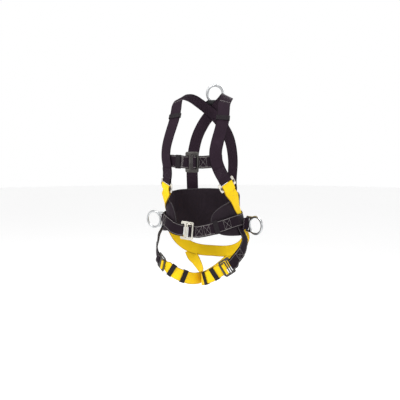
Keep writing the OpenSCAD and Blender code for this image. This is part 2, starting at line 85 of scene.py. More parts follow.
class MetalSettings(bpy.types.PropertyGroup):
    """Colours and edges of the metalwork."""
    forged: colour("Forged steel", "Polished steel of the rings", (0.52, 0.53, 0.54))
    bright: colour("Bright plate", "Zinc plating of the waist buckle and adjusters", (0.68, 0.65, 0.58))
    dark: colour("Dark plate", "Plating of the chest and leg buckles", (0.085, 0.080, 0.076))
    edge: length("Edge rounding", "Radius of the stamped edges", 0.7 * MM, 0.3 * MM, 1.2 * MM)
    voxel: length("Forging detail", "Grid that joins the parts of a ring", 0.8 * MM, 0.5 * MM, 2 * MM)


class PadSettings(bpy.types.PropertyGroup):
    """Fabric and filling of the lumbar pad."""
    fabric: colour("Pad fabric", "Cover of the lumbar pad", (0.0085, 0.0055, 0.0080))
    binding: colour("Binding", "Tape round the edge of the pad", (0.018, 0.013, 0.017))
    loft: length("Loft", "Most that the filling swells the cover", 1.3 * MM, 0, 3 * MM)
    channel: length("Channel depth", "Depth of the sewn channels", 1.6 * MM, 0, 3 * MM)


# ---------------------------------------------------------------- shader sketching

class Value:
    """One output of a node, which can be used in an expression."""

    def __init__(self, sketch, socket):
        self.sketch, self.socket = sketch, socket

    def _math(self, operation, *values):
        return self.sketch.node("Math", {"operation": operation}, dict(enumerate(values)))

    def __add__(self, other): return self._math("ADD", self, other)
    def __radd__(self, other): return self._math("ADD", other, self)
    def __sub__(self, other): return self._math("SUBTRACT", self, other)
    def __rsub__(self, other): return self._math("SUBTRACT", other, self)
    def __mul__(self, other): return self._math("MULTIPLY", self, other)
    def __rmul__(self, other): return self._math("MULTIPLY", other, self)
    def __truediv__(self, other): return self._math("DIVIDE", self, other)
    def __pow__(self, other): return self._math("POWER", self, other)
    def __abs__(self): return self._math("ABSOLUTE", self)

    def sine(self): return self._math("SINE", self)
    def above(self, edge): return self._math("GREATER_THAN", self, edge)
    def within(self, low, high):
        """0 at low and 1 at high, smooth between."""
        return self.sketch.node("MapRange", {"interpolation_type": "SMOOTHSTEP"},
                                {0: self, 1: low, 2: high, 3: 0.0, 4: 1.0})


class Sketch:
    """A material under construction."""

    def __init__(self, name):
        self.material = bpy.data.materials.new(name)
        self.material.use_nodes = True
        self.tree = self.material.node_tree
        self.tree.nodes.clear()

    def node(self, kind, settings=None, inputs=None, output=0):
        made = self.tree.nodes.new("ShaderNode" + kind)
        for key, setting in (settings or {}).items():
            setattr(made, key, setting)
        for key, value in (inputs or {}).items():
            if isinstance(value, Value):
                self.tree.links.new(value.socket, made.inputs[key])
            else:
                made.inputs[key].default_value = value
        return Value(self, made.outputs[output])

    def noise(self, scale, detail=2.0, coords=None):
        return self.node("TexNoise", None, {"Vector": coords or self.object_coords(), "Scale": scale,
                                            "Detail": detail}, "Fac")

    def object_coords(self):
        return self.node("TexCoord", None, None, "Object")

    def mix(self, share, a, b):
        return self.node("Mix", {"data_type": "RGBA"}, {0: share, 6: a, 7: b}, 2)

    def bump(self, height, distance, strength=1.0):
        return self.node("Bump", None, {"Height": height, "Distance": distance, "Strength": strength})

    def surface(self, **inputs):
        shader = self.node("BsdfPrincipled", None, {k.replace("_", " "): v for k, v in inputs.items()})
        out = self.tree.nodes.new("ShaderNodeOutputMaterial")
        self.tree.links.new(shader.socket, out.inputs["Surface"])
        return self.material


def rgba(values, gain=1.0):
    return (*[min(v * gain, 1.0) for v in values], 1.0)


# ---------------------------------------------------------------- finishes

MATERIALS = {}


def finish_named(name):
    """The material of that name, made when it is first asked for."""
    if name not in MATERIALS:
        MATERIALS[name] = FINISHES[name](name)
    return MATERIALS[name]


def weave_heights(sketch, rib):
    """Place along the webbing, place across it, and the height of its ribbed twill."""
    uv = sketch.node("UVMap", {"uv_map": "weave"})
    along = sketch.node("SeparateXYZ", None, {0: uv}, 0)
    across = sketch.node("SeparateXYZ", None, {0: uv}, 1)
    cord = abs((across * (math.pi / rib)).sine()) ** 0.6
    slope = along * (2 * math.pi / (rib * 1.3)) + abs(across) * (2 * math.pi / (rib * 2.6))
    twill = slope.sine() * 0.5 + 0.5
    return along, across, cord * 0.65 + twill * 0.35


def webbing(name, deep, light, edge, lines=None, sheen=0.02):
    """Ribbed webbing with painted shade along its edges; lines is the colour of a sewn line near each edge."""
    cloth = bpy.context.scene.harness_webbing
    sketch = Sketch(name)
    along, across, height = weave_heights(sketch, cloth.rib)
    wide = sketch.noise(22.0, 3.0)
    fine = sketch.noise(900.0, 2.0)
    # painted sheen: the weave's ridges and random noise take the light colour, which on black webbing is the
    # painted yarn sheen
    tone = sketch.mix(height * 0.55 + fine * 0.3 + wide * 0.25, rgba(deep), rgba(light))
    # painted shade: the strap's outer edges are painted in the darker edge colour
    edge_shade = abs(across).within(19.6 * MM, 21.6 * MM)
    tone = sketch.mix(edge_shade * 0.85, tone, rgba(edge))
    # painted sheen: random patches are painted in a brighter tint of the light colour, the yarn sheen on black
    # webbing
    sheen_patches = wide.within(0.56, 0.74) * 0.25
    tone = sketch.mix(sheen_patches, tone, rgba(light, 1.25))
    if lines:
        beside = abs(abs(across) - 18.2 * MM)
        run = 1 - beside.within(0.45 * MM, 1.0 * MM)
        dash = (along * (2 * math.pi / cloth.stitch)).sine().within(-0.75, -0.35)
        tone = sketch.mix(run * dash, tone, rgba(lines))
        height = height + run * dash * 0.7
    return sketch.surface(
        Base_Color=tone, Roughness=0.62 + fine * 0.2 - height * 0.08,
        Normal=sketch.bump(height + fine * 0.3, 0.22 * MM),
        Sheen_Weight=sheen, Sheen_Roughness=0.45, Sheen_Tint=rgba(light, 6.0), Specular_IOR_Level=0.08)


def black_webbing(name):
    cloth = bpy.context.scene.harness_webbing
    # painted shade: the black webbing's edges are painted darker
    return webbing(name, cloth.black, cloth.sheen, tuple(0.6 * c for c in cloth.black))


def lined_webbing(name):
    cloth = bpy.context.scene.harness_webbing
    # painted shade: its edges are painted darker too
    return webbing(name, tuple(0.75 * c for c in cloth.black), tuple(0.6 * c for c in cloth.sheen),
                   tuple(0.6 * c for c in cloth.black), lines=tuple(0.75 * c for c in cloth.thread))


def yellow_webbing(name):
    cloth = bpy.context.scene.harness_webbing
    return webbing(name, tuple(0.72 * c for c in cloth.yellow), cloth.yellow, cloth.edge_shade, sheen=0.02)


def thread_of(base):
    """Twisted thread of one colour."""
    def make(name):
        sketch = Sketch(name)
        twist = sketch.node("TexWave", {"bands_direction": "DIAGONAL"},
                            {"Vector": sketch.object_coords(), "Scale": 1500.0, "Distortion": 0.5}, "Fac")
        return sketch.surface(
            Base_Color=sketch.mix(twist, rgba(base, 0.55), rgba(base, 1.15)), Roughness=0.5 + twist * 0.2,
            Normal=sketch.bump(twist, 0.1 * MM), Sheen_Weight=0.05)
    return make


def grey_thread(name):
    return thread_of(bpy.context.scene.harness_webbing.thread)(name)


def pad_cover(name):
    """Knitted spacer fabric with small open cells."""
    pad = bpy.context.scene.harness_pad
    sketch = Sketch(name)
    coords = sketch.object_coords()
    cells = sketch.node("TexVoronoi", {"feature": "F1"},
                        {"Vector": coords, "Scale": 420.0, "Randomness": 0.35})
    open_cell = 1 - cells.within(0.12, 0.5)
    wide = sketch.noise(18.0, 3.0)
    tone = sketch.mix(open_cell * 0.75, rgba(pad.fabric, 1.9), rgba(pad.fabric, 0.45))
    tone = sketch.mix(wide.within(0.45, 0.8) * 0.35, tone, rgba(pad.fabric, 2.6))
    return sketch.surface(
        Base_Color=tone, Roughness=0.78 + wide * 0.12, Normal=sketch.bump(1 - open_cell, 0.35 * MM),
        Sheen_Weight=0.10, Sheen_Roughness=0.5, Sheen_Tint=rgba(pad.fabric, 20.0), Specular_IOR_Level=0.15)


def binding_tape(name):
    pad = bpy.context.scene.harness_pad
    sketch = Sketch(name)
    grain = sketch.node("TexWave", {"bands_direction": "DIAGONAL"},
                        {"Vector": sketch.object_coords(), "Scale": 420.0, "Distortion": 1.0}, "Fac")
    wide = sketch.noise(30.0)
    return sketch.surface(
        Base_Color=sketch.mix(grain * 0.7 + wide * 0.3, rgba(pad.binding, 0.5), rgba(pad.binding, 1.4)),
        Roughness=0.6 + grain * 0.15, Normal=sketch.bump(grain, 0.15 * MM), Sheen_Weight=0.08)


def elastic(name):
    """Ribbed elastic tape of the keepers."""
    sketch = Sketch(name)
    uv = sketch.node("UVMap", {"uv_map": "weave"})
    along = sketch.node("SeparateXYZ", None, {0: uv}, 0)
    round_strap = sketch.node("SeparateXYZ", None, {0: uv}, 1)
    ribs = abs((along * (math.pi / (1.3 * MM))).sine()) ** 0.7
    picks = abs((round_strap * (math.pi / (0.9 * MM))).sine())
    wide = sketch.noise(60.0)
    return sketch.surface(
        Base_Color=sketch.mix(ribs * 0.6 + picks * 0.2 + wide * 0.2, rgba((0.004, 0.003, 0.004)),
                              rgba((0.020, 0.016, 0.019))),
        Roughness=0.72 - ribs * 0.12, Normal=sketch.bump(ribs + picks * 0.3, 0.25 * MM),
        Specular_IOR_Level=0.12)


def moulded(name):
    """Black moulded plastic with a fine spark-eroded grain."""
    sketch = Sketch(name)
    grain = sketch.noise(1100.0, 3.0)
    wide = sketch.noise(35.0, 3.0)
    return sketch.surface(
        Base_Color=sketch.mix(wide.within(0.4, 0.7), rgba((0.010, 0.010, 0.011)),
                              rgba((0.022, 0.022, 0.024))),
        Roughness=0.40 + grain * 0.2 + wide * 0.1, Normal=sketch.bump(grain, 0.12 * MM),
        Specular_IOR_Level=0.45)


def metal(base, rough, grain_scale, scratch, shade):
    """Plated steel: base colour, roughness, grain size, share of scratches, depth of darker patches."""
    def make(name):
        sketch = Sketch(name)
        coords = sketch.object_coords()
        patches = sketch.noise(45.0, 4.0, coords)
        grain = sketch.noise(grain_scale, 2.0, coords)
        stretched = sketch.node("Mapping", None, {"Vector": coords, "Scale": (1.0, 1.0, 14.0)})
        lines = sketch.noise(260.0, 3.0, stretched).within(0.62, 0.70)
        tint = bpy.context.scene.harness_metal
        colour_of = getattr(tint, base)
        tone = sketch.mix(patches.within(0.35, 0.7), rgba(colour_of, 1 - shade), rgba(colour_of, 1.05))
        tone = sketch.mix(lines * scratch, tone, rgba(colour_of, 1.5))
        return sketch.surface(
            Base_Color=tone, Metallic=1.0,
            Roughness=rough + patches * 0.12 + grain * 0.06 - lines * scratch * 0.1,
            Normal=sketch.bump(grain + lines * scratch, 0.05 * MM))
    return make


FINISHES = {
    "black_webbing": black_webbing, "lined_webbing": lined_webbing, "yellow_webbing": yellow_webbing,
    "grey_thread": grey_thread, "black_thread": thread_of((0.022, 0.014, 0.020)),
    "yellow_thread": thread_of((0.62, 0.38, 0.02)), "pad_fabric": pad_cover, "pad_binding": binding_tape,
    "keeper_elastic": elastic, "moulded_plastic": moulded,
    "forged_steel": metal("forged", 0.20, 120.0, 0.10, 0.15),
    "bright_steel": metal("bright", 0.25, 700.0, 0.35, 0.22),
    "dark_steel": metal("dark", 0.38, 500.0, 0.35, 0.35),
}


# ---------------------------------------------------------------- places on the frame

def merged_copy(node):
    """A copy of a CAD node with its loose triangles joined."""
    bm = bmesh.new()
    bm.from_mesh(frame["nodes"][node].data)
    bmesh.ops.remove_doubles(bm, verts=bm.verts[:], dist=1e-6)
    bm.normal_update()
    return bm


def axes_of(node, along=None, across=None):
    """Matrix, in millimetres, of a flat part's axes (along, across, outward), and its size."""
    bm = merged_copy(node)
    out = max(bm.faces, key=lambda f: round(f.calc_area(), 12)).normal.copy()
    points = [v.co.copy() for v in bm.verts]
    bm.free()
    middle = sum(points, Vector()) / len(points)
    if out.dot(Vector((middle.x, middle.y, 0))) < 0:
        out.negate()
    if along:
        u = (Vector(along) - out * out.dot(Vector(along))).normalized()
        v = out.cross(u)
    else:
        v = (Vector(across) - out * out.dot(Vector(across))).normalized()
        u = v.cross(out)
    spans = [(min(p.dot(a) for p in points), max(p.dot(a) for p in points)) for a in (u, v, out)]
    centre = sum((a * (lo + hi) / 2 for a, (lo, hi) in zip((u, v, out), spans)), Vector())
    turn = Matrix((u, v, out)).transposed().to_4x4()
    place = Matrix.Translation(centre) @ turn @ Matrix.Scale(MM, 4)
    return place, [(hi - lo) / MM for lo, hi in spans]


def finish_piece(name, bm, finish, node=None, place=None, body="harness", creases=35):
    """Makes the shaped mesh an object that rides on its body, with its finish, in place of its CAD node."""
    if place:
        bmesh.ops.transform(bm, matrix=place, verts=bm.verts[:])
    bmesh.ops.recalc_face_normals(bm, faces=bm.faces[:])
    for face in bm.faces:
        face.smooth = True
    for edge in bm.edges:
        edge.smooth = edge.calc_face_angle(0.0) < math.radians(creases)
    mesh = bpy.data.meshes.new(name)
    bm.to_mesh(mesh)
    bm.free()
    piece = bpy.data.objects.new(name, mesh)
    bpy.context.scene.collection.objects.link(piece)
    mesh.materials.append(finish_named(finish))
    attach(piece, BODY_OF[node] if node else body)
    if node:
        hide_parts(node)
    return piece


def applied(piece):
    """Turns a piece's modifiers into plain mesh."""
    view = bpy.context.evaluated_depsgraph_get()
    mesh = bpy.data.meshes.new_from_object(piece.evaluated_get(view))
    old = piece.data
    piece.modifiers.clear()
    piece.data = mesh
    bpy.data.meshes.remove(old)
    mesh.name = piece.name


def ring_edges(bm, verts):
    """Joins vertices in a closed ring."""
    return [bm.edges.new((a, b)) for a, b in zip(verts, verts[1:] + verts[:1])]


def new_verts(grown):
    """The vertices that an extrusion made."""
    return [g for g in grown["geom"] if isinstance(g, bmesh.types.BMVert)]


def next_ring(bm, edges, verts):
    """Extrudes a ring; returns its new edges, and its new vertices in the order of the old."""
    grown = bmesh.ops.extrude_edge_only(bm, edges=edges)
    fresh = set(new_verts(grown))
    verts = [next(w for w in (e.other_vert(v) for e in v.link_edges) if w in fresh) for v in verts]
    edges = [g for g in grown["geom"]
             if isinstance(g, bmesh.types.BMEdge) and all(v in fresh for v in g.verts)]
    return edges, verts


def block(bm, points, rise):
    """A solid with that outline, raised by the vector rise."""
    face = bm.faces.new([bm.verts.new(p) for p in points])
    grown = bmesh.ops.extrude_face_region(bm, geom=[face], use_keep_orig=True)
    bmesh.ops.translate(bm, vec=rise, verts=new_verts(grown))
    bmesh.ops.recalc_face_normals(bm, faces=bm.faces[:])


# ---------------------------------------------------------------- webbing

def curve_value(a, b, c, d, t):
    """Catmull-Rom value between b and c."""
    bend, twist = 2 * a - 5 * b + 4 * c - d, 3 * (b - c) + d - a
    return b + (c - a) * (t / 2) + bend * (t * t / 2) + twist * (t ** 3 / 2)


# half outline of webbing: place across as a share of half the width, and height in millimetres
HALF_OUTLINE = [(1.0, 0.0), (0.990, 0.58), (0.962, 0.90), (0.925, 0.98), (0.870, 0.84), (0.60, 0.90),
                (0.22, 0.93), (-0.22, 0.93), (-0.60, 0.90), (-0.870, 0.84), (-0.925, 0.98), (-0.962, 0.90),
                (-0.990, 0.58)]
OUTLINE = HALF_OUTLINE + [(-a, -h) for a, h in HALF_OUTLINE]


class Strip:
    """A length of webbing that follows one of the frame's straps. start is the direction of its first end."""

    def __init__(self, node, start, fineness=3):
        self.node = node
        rows = self.rows(node, Vector(start))
        count = len(rows)
        self.places = []
        for i in range(count - 1):
            near = [rows[max(i - 1, 0)], rows[i], rows[i + 1], rows[min(i + 2, count - 1)]]
            for k in range(fineness):
                self.places.append(tuple(curve_value(*column, k / fineness) for column in zip(*near)))
        self.places.append(rows[-1])
        self.places = [(c, v.normalized(), n.normalized(), w) for c, v, n, w in self.places]
        self.run = [0.0]
        for a, b in zip(self.places, self.places[1:]):
            self.run.append(self.run[-1] + (b[0] - a[0]).length)
        if sum(n.dot(Vector((c.x, c.y, 0)).normalized()) for c, v, n, w in self.places) < 0:
            self.places = [(c, v, -n, w) for c, v, n, w in self.places]

    @staticmethod
    def rows(node, start):
        """The CAD strap's sections in order: (middle, direction across, direction outward, width)."""
        bm = merged_copy(node)
        ends = [v for v in bm.verts if len(v.link_edges) < 6]
        group = {ends[0]}
        while True:
            more = {e.other_vert(v) for v in group for e in v.link_edges} & set(ends) - group
            if not more:
                break
            group |= more
        far = set(ends) - group
        mean = lambda vs: sum((v.co for v in vs), Vector()) / len(vs)
        ring = max((group, far), key=lambda g: mean(g).dot(start))
        if len(ends) != 8 or len(ring) != 4:
            raise RuntimeError(f"{node} isn't a strap of four-cornered sections")
        seen, rows, across, out = set(), [], None, None
        while ring:
            seen |= ring
            corners = sorted((v.co.copy() for v in ring), key=lambda p: tuple(p))
            first = corners.pop(0)
            partner = min(corners, key=lambda p: (p - first).length)
            corners.remove(partner)
            if (corners[0] - corners[1]).dot(first - partner) < 0:
                corners.reverse()
            a, b = (first + partner) / 2, (corners[0] + corners[1]) / 2
            v = (a - b).normalized()
            n = (first - partner + corners[0] - corners[1]).normalized()
            if across and v.dot(across) < 0:
                v.negate()
            if out and n.dot(out) < 0:
                n.negate()
            across, out = v, n
            rows.append(((a + b) / 2, v, n, (a - b).length))
            ring = {e.other_vert(x) for x in ring for e in x.link_edges} - seen
        bm.free()
        return rows

    def shape(self):
        """The webbing's mesh: its outline drawn along the places, with the weave's UV map."""
        bm = bmesh.new()
        spot = {}

        def corners(i):
            c, v, n, w = self.places[i]
            wave = math.sin(self.run[i] * 61.0 + len(self.node)) * 0.16
            out = []
            for a, h in OUTLINE:
                lift = h + wave * abs(a) ** 3
                out.append((c + v * (a * w / 2) + n * (lift * MM), (self.run[i], a * w / 2)))
            return out

        verts = [bm.verts.new(co) for co, uv in corners(0)]
        spot.update(zip(verts, (uv for co, uv in corners(0))))
        edges = ring_edges(bm, verts)
        bmesh.ops.edgeloop_fill(bm, edges=edges)
        for i in range(1, len(self.places)):
            edges, verts = next_ring(bm, edges, verts)
            for v, (co, uv) in zip(verts, corners(i)):
                v.co = co
                spot[v] = uv
        bmesh.ops.edgeloop_fill(bm, edges=edges)
        layer = bm.loops.layers.uv.new("weave")
        for face in bm.faces:
            for loop in face.loops:
                loop[layer].uv = spot[loop.vert]
        return bm

    def at(self, run, across, side=1, lift=0.0):
        """Point on the webbing's face and the direction out of it; side -1 is its inner face."""
        run = min(max(run, 0.0), self.run[-1])
        i = min(max(np.searchsorted(self.run, run) - 1, 0), len(self.run) - 2)
        t = (run - self.run[i]) / (self.run[i + 1] - self.run[i])
        (c0, v0, n0, _), (c1, v1, n1, _) = self.places[i], self.places[i + 1]
        n = (n0.lerp(n1, t)).normalized() * side
        return c0.lerp(c1, t) + v0.lerp(v1, t) * across + n * (0.92 * MM + lift), n

    def near(self, point, facing=1):
        """Run of the place nearest a point, among those whose outward side faces out (1) or in (-1)."""
        point = Vector(point)
        best = min((c - point).length for c, _, n, _ in self.places
                   if facing * n.dot(Vector((c.x, c.y, 0))) > 0)
        for s, (c, _, n, _) in zip(self.run, self.places):
            if facing * n.dot(Vector((c.x, c.y, 0))) > 0 and (c - point).length <= best:
                return s
        raise RuntimeError("no such place on " + self.node)


def sew(bm, strip, a, b, side=1):
    """A row of stitches from a to b, each (run, across), on one face of a strip."""
    pitch = bpy.context.scene.harness_webbing.stitch
    count = max(1, round(math.dist(a, b) / pitch))
    for k in range(count):
        ends = []
        for t in ((k + 0.13) / count, (k + 0.87) / count):
            ends.append(strip.at(a[0] + (b[0] - a[0]) * t, a[1] + (b[1] - a[1]) * t, side))
        (p, n), (q, _) = ends
        long = q - p
        wide = n.cross(long).normalized()
        high = long.normalized().cross(wide)
        turn = Matrix((wide * 0.5 * MM, high * 0.42 * MM, long / 2)).transposed().to_4x4()
        bmesh.ops.create_uvsphere(bm, u_segments=6, v_segments=4, radius=1.0,
                                  matrix=Matrix.Translation((p + q) / 2) @ turn)


def box_stitch(bm, strip, start, end, side=1, half=16.5 * MM, cross=True):
    """A sewn box with a cross in it between two runs of a strip."""
    corners = [(start, -half), (end, -half), (end, half), (start, half)]
    for a, b in zip(corners, corners[1:] + corners[:1]):
        sew(bm, strip, a, b, side)
    if cross:
        sew(bm, strip, corners[0], corners[2], side)
        sew(bm, strip, corners[1], corners[3], side)


def lay_strap(name, node, start, finish):
    """Builds one strap in place of its CAD node and returns its strip, for the sewing."""
    strip = Strip(node, start)
    finish_piece(name, strip.shape(), finish, node, creases=60)
    return strip


# ---------------------------------------------------------------- plates and bars, in millimetres

def rounded(l, w, r, middle=0.0, steps=5):
    """Corner points of a rounded rectangle, l along and w across."""
    points = []
    for sx, sy, start in ((1, 1, 0), (-1, 1, 90), (-1, -1, 180), (1, -1, 270)):
        for k in range(steps + 1):
            a = math.radians(start + 90 * k / steps)
            points.append((middle + sx * (l / 2 - r) + r * math.cos(a), sy * (w / 2 - r) + r * math.sin(a)))
    return points


def soften(bm, offset, least=40, segments=3):
    """Bevels every edge that turns by more than least degrees."""
    sharp = [e for e in bm.edges if e.calc_face_angle(0.0) > math.radians(least)]
    bmesh.ops.bevel(bm, geom=sharp, offset=offset, offset_type="OFFSET", segments=segments, profile=0.5,
                    affect="EDGES", clamp_overlap=True, material=-1)


def plate(loops, thick, edge, least=40):
    """A plate with an outline and holes, its edges rounded."""
    bm = bmesh.new()
    for points in loops:
        verts = [bm.verts.new((x, y, -thick / 2)) for x, y in points]
        ring_edges(bm, verts)
    bmesh.ops.triangle_fill(bm, use_beauty=True, use_dissolve=True, edges=bm.edges[:])
    grown = bmesh.ops.extrude_face_region(bm, geom=bm.faces[:], use_keep_orig=True)
    bmesh.ops.translate(bm, vec=(0, 0, thick), verts=new_verts(grown))
    bmesh.ops.recalc_face_normals(bm, faces=bm.faces[:])
    soften(bm, edge, least)
    return bm


def rod(bm, radius, span, centre=(0, 0, 0), across=True, segments=32, edge=0.8):
    """A round bar across the strap (or along it) with chamfered ends, added to bm."""
    turn = Matrix.Rotation(math.radians(90), 4, "X" if across else "Y")
    made = bmesh.ops.create_cone(bm, cap_ends=True, segments=segments, radius1=radius, radius2=radius,
                                 depth=span, matrix=Matrix.Translation(centre) @ turn)["verts"]
    rims = {e for v in made for e in v.link_edges if e.calc_face_angle(0.0) > math.radians(60)}
    bmesh.ops.bevel(bm, geom=list(rims), offset=edge, segments=2, profile=0.5, affect="EDGES", material=-1)


def buckle_rail(l):
    """Width of a buckle frame's three rails."""
    return (l - 28.5) / 3


def belt_buckle(name, joint, frame_node, link_node, finish):
    """A stamped frame with a webbing slot and an opening, and the link that seats on it."""
    metal_edge = bpy.context.scene.harness_metal.edge / MM
    across = -Vector(JOINTS[joint]["axis"])
    place, (l, w, t) = axes_of(frame_node, across=across)
    r = buckle_rail(l)
    bm = plate([rounded(l, w, 6.0), rounded(6.5, 48, 1.6, -l / 2 + r + 3.25, 3),
                rounded(22, 56, 3.0, l / 2 - r - 11, 4)], t, metal_edge)
    # pressed beads that stiffen the two outer rails
    for u in (-l / 2 + r / 2, l / 2 - r / 2):
        bead(bm, (u, 0, t / 2 - 0.25), w - 22, min(r * 0.36, 1.9), 0.55)
    finish_piece(name + "_frame_plate", bm, finish, frame_node, place)

    place, (l, w, _) = axes_of(link_node, across=across)
    bm = plate([rounded(l, w, 4.0), rounded(16, w - 7.4, 2.0, 0, 3)], 3.0, min(metal_edge * 1.5, 1.2))
    rod(bm, 2.5, w - 4, edge=0.5)
    finish_piece(name + "_link_plate", bm, finish, link_node, place)


def bead(bm, centre, span, radius, rise, across=True):
    """A low rounded ridge across the strap, added to bm."""
    made = bmesh.ops.create_uvsphere(bm, u_segments=20, v_segments=10, radius=1.0)["verts"]
    long, short = Matrix.Scale(span / 2, 3, (0, 1, 0)), Matrix.Scale(radius, 3, (1, 0, 0))
    for v in made:
        straight = max(-1.0, min(1.0, v.co.y * 1.25))
        v.co.y = straight
        v.co = short @ (long @ v.co)
        v.co.z *= rise
        if not across:
            v.co.x, v.co.y = v.co.y, -v.co.x
    bmesh.ops.translate(bm, vec=centre, verts=made)


def adjuster(side, joint):
    """A strap adjuster: a frame with one opening and a knurled bar that slides in it."""
    metal_edge = bpy.context.scene.harness_metal.edge / MM
    along = JOINTS[joint]["axis"]
    place, (l, w, t) = axes_of(side + "_adjuster_frame", along=along)
    bm = plate([rounded(l, w, 5.0), rounded(l - 12, 48, 2.0, 0, 3)], t, metal_edge)
    for v in (-w / 2 + 4.4, w / 2 - 4.4):
        bead(bm, (0, v, t / 2 - 0.2), l - 14, 1.7, 0.8, across=False)
    finish_piece(side + "_adjuster_plate", bm, "bright_steel", side + "_adjuster_frame", place)

    place, (l, w, t) = axes_of(side + "_adjuster_bar", along=along)
    teeth = 5
    profile = [(-l / 2, -t / 2), (l / 2, -t / 2)]
    for k in range(teeth):
        top = l / 2 - l * k / teeth
        profile += [(top, t / 2 - 0.55), (top - l / teeth * 0.5, t / 2)]
    profile.append((-l / 2, t / 2 - 0.55))
    bm = bmesh.new()
    block(bm, [(x, -w / 2, z) for x, z in profile], (0, w, 0))
    soften(bm, 0.25, 60, 2)
    finish_piece(side + "_adjuster_knurled_bar", bm, "dark_steel", side + "_adjuster_bar", place)


def forged_ring(name, joint, node):
    """A forged ring: round eye, two arms and the straight bar in its loop of webbing, in one piece."""
    pivot = Vector(JOINTS[joint]["pos_m"])
    v = Vector(JOINTS[joint]["axis"]).normalized()
    bm = merged_copy(node)
    points = [p.co.copy() for p in bm.verts]
    bm.free()
    u = sum(points, Vector()) / len(points) - pivot
    u = (u - v * u.dot(v)).normalized()
    n = u.cross(v)
    reach = max((p - pivot).dot(u) for p in points) / MM
    outer = max(abs((p - pivot).dot(v)) for p in points) / MM
    thick = 2 * max(abs((p - pivot).dot(n)) for p in points) / MM
    place = Matrix.Translation(pivot) @ Matrix((u, v, n)).transposed().to_4x4() @ Matrix.Scale(MM, 4)
    eye = reach - outer
    inner = outer - 9.0 if outer < 37 else outer - 11.0

    bm = bmesh.new()
    profile = []
    for k in range(24):
        a = math.tau * k / 24
        push = (abs(math.cos(a)) ** 3 + abs(math.sin(a)) ** 3) ** (-1 / 3)
        profile.append(bm.verts.new((eye + (inner + outer) / 2 + (outer - inner) / 2 * push * math.cos(a), 0,
                                     thick / 2 * push * math.sin(a))))
    edges = ring_edges(bm, profile)
    bmesh.ops.spin(bm, geom=profile + edges, cent=(eye, 0, 0), axis=(0, 0, 1), angle=math.tau, steps=120,
                   use_merge=True, use_duplicate=False)
    rod(bm, 4.0, 60, segments=48, edge=1.4)
    # arms and cross rail, as one plate behind the eye
    turn = [math.radians(a) for a in range(100, 261, 8)]
    radius = (inner + outer) / 2
    arc = [(eye + radius * math.cos(a), radius * math.sin(a)) for a in turn]
    outline = [(-2.6, 29.5), *arc, (-2.6, -29.5), (-2.6, -24), (13, -22), (13, 22), (-2.6, 24)]
    arms = bmesh.new()
    block(arms, [(x, y, 1 - thick / 2) for x, y in outline], (0, 0, thick - 2))
    bmesh.ops.triangulate(arms, faces=arms.faces[:])
    part = bpy.data.meshes.new("arms")
    arms.to_mesh(part)
    arms.free()
    bm.from_mesh(part)
    bpy.data.meshes.remove(part)
    bmesh.ops.recalc_face_normals(bm, faces=bm.faces[:])
    piece = finish_piece(name, bm, "forged_steel", node, place, creases=180)
    weld = piece.modifiers.new("weld", "REMESH")
    weld.mode = "VOXEL"
    weld.voxel_size = bpy.context.scene.harness_metal.voxel
    weld.use_smooth_shade = True
    forge = piece.modifiers.new("forge", "SMOOTH")
    forge.factor, forge.iterations = 0.5, 14
    applied(piece)
    return piece


def keeper(node, joint, finish="keeper_elastic"):
    """A band of elastic round a strap."""
    joint = JOINTS[joint]
    axis = Vector(joint["axis"])
    slides = joint["type"] == "slide"
    place, (l, w, h) = axes_of(node, along=axis if slides else None, across=None if slides else axis)
    wall = 1.25
    path = rounded(h - wall, w - wall, 1.7, 0, 4)
    bm = bmesh.new()
    verts = [bm.verts.new((-l / 2 + 0.3, y, z)) for z, y in path]
    edges = ring_edges(bm, verts)
    steps = 6
    for _ in range(steps):
        edges, verts = next_ring(bm, edges, verts)
        bmesh.ops.translate(bm, vec=((l - 0.6) / steps, 0, 0), verts=verts)
    bmesh.ops.recalc_face_normals(bm, faces=bm.faces[:])
    for v in bm.verts:
        if abs(v.co.y) < w / 2 - 4:
            crown = 0.5 * math.cos(math.pi * v.co.x / l) * (1 - abs(2 * v.co.y / w) ** 2)
            v.co.z += math.copysign(crown * 0.6 - 0.2, v.co.z)
    bmesh.ops.solidify(bm, geom=bm.faces[:], thickness=wall * 0.9)
    shift = sum((v.co.y for v in bm.verts)) / len(bm.verts)
    bmesh.ops.translate(bm, vec=(0, -shift, 0), verts=bm.verts[:])
    bmesh.ops.recalc_face_normals(bm, faces=bm.faces[:])
    soften(bm, 0.35, 60, 2)
    layer = bm.loops.layers.uv.new("weave")
    for face in bm.faces:
        for loop in face.loops:
            co = loop.vert.co
            loop[layer].uv = (co.x * MM, (co.y + co.z) * MM)
    return finish_piece(node + "_band", bm, finish, node, place, creases=50)


def cord_round(bm, points, radius, segments=8):
    """A closed cord through points, added to bm."""
    count = len(points)
    rings = []
    side = None
    for i in range(count):
        way = (points[(i + 1) % count] - points[i - 1]).normalized()
        side = (side or way.orthogonal())
        side = (side - way * side.dot(way)).normalized()
        rings.append((points[i], side.copy(), way.cross(side)))
    angles = [math.tau * k / segments for k in range(segments)]
    centre, a_axis, b_axis = rings[0]
    verts = [bm.verts.new(centre + a_axis * math.cos(a) * radius + b_axis * math.sin(a) * radius)
             for a in angles]
    edges = start = ring_edges(bm, verts)
    for centre, a_axis, b_axis in rings[1:]:
        edges, verts = next_ring(bm, edges, verts)
        for a, v in zip(angles, verts):
            v.co = centre + a_axis * math.cos(a) * radius + b_axis * math.sin(a) * radius
    bmesh.ops.bridge_loops(bm, edges=edges + start)


# ---------------------------------------------------------------- the pad

